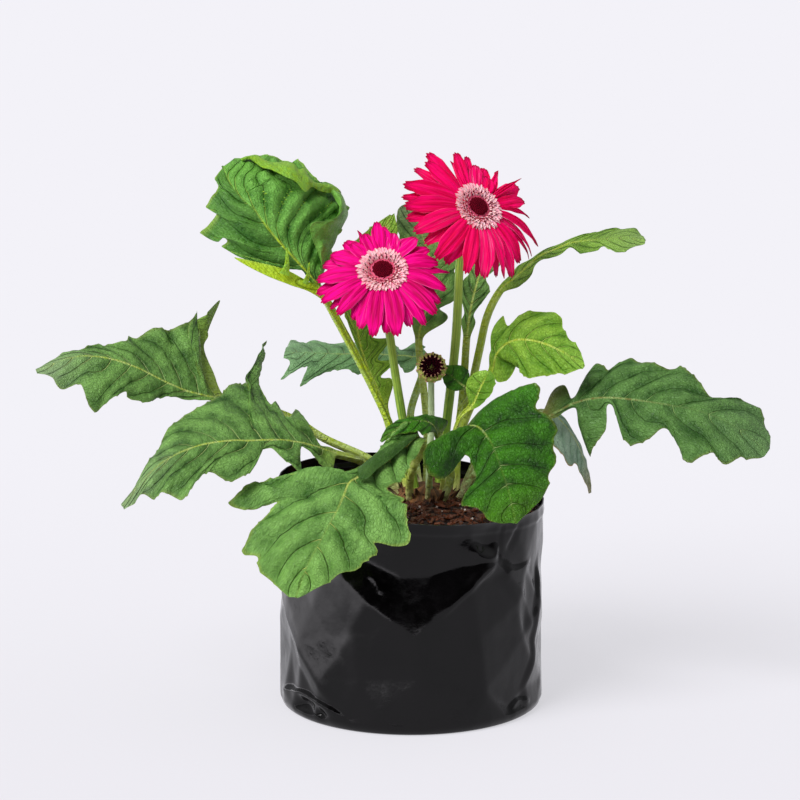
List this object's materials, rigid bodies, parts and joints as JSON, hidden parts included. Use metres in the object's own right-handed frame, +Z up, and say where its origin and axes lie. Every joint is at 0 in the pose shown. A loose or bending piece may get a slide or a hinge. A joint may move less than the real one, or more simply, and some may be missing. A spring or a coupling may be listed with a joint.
{
  "type": "potted gerbera",
  "caption": "Gerbera with two open pink blooms, a bud and a rosette of lobed leaves, growing in potting mix in a round black film grow bag.",
  "frame": {"origin": "middle of the flat round bottom of the bag, on the surface it stands on", "axes": "+Z up, +X to the right as seen from the front, -Y towards the front, which both blooms face"},
  "size_m": [0.4337, 0.2438, 0.3331],
  "materials": {
    "black_film": "glossy black polyethylene film",
    "potting_mix": "coarse dark bark and peat",
    "crown_sheath": "dry pale sheath",
    "leaf_green": "satin leaf",
    "leaf_dark_green": "satin leaf",
    "leaf_bright_green": "satin young leaf",
    "scape_green": "satin stalk",
    "petal_pink": "soft hot pink petal",
    "fringe_pink": "soft pale pink florets",
    "eye_maroon": "velvety dark florets",
    "calyx_green": "satin bracts"
  },
  "bodies": {
    "root": {"grow_bag": "black_film", "potting_mix": "potting_mix", "crown": "crown_sheath", "leaf_tall_left": "leaf_green", "leaf_left": "leaf_green", "leaf_low_left": "leaf_green", "leaf_front_left": "leaf_green", "leaf_front_right": "leaf_dark_green", "leaf_right": "leaf_green", "leaf_bright_right": "leaf_bright_green", "leaf_high_right": "leaf_green", "leaf_back_left": "leaf_green", "leaf_behind_blooms": "leaf_green", "leaf_upright_right": "leaf_green", "leaf_yellow_green": "leaf_bright_green", "leaf_young_folded": "leaf_bright_green", "leaf_young_dark": "leaf_dark_green", "leaf_young_front": "leaf_dark_green", "leaf_drooping_right": "leaf_green", "scape_left": "scape_green", "scape_right": "scape_green", "scape_bud": "scape_green", "bloom_left_petals": "petal_pink", "bloom_left_fringe": "fringe_pink", "bloom_left_eye": "eye_maroon", "bloom_left_calyx": "calyx_green", "bloom_right_petals": "petal_pink", "bloom_right_fringe": "fringe_pink", "bloom_right_eye": "eye_maroon", "bloom_right_calyx": "calyx_green", "bud_bracts": "calyx_green", "bud_florets": "eye_maroon"}
  },
  "joints": []
}
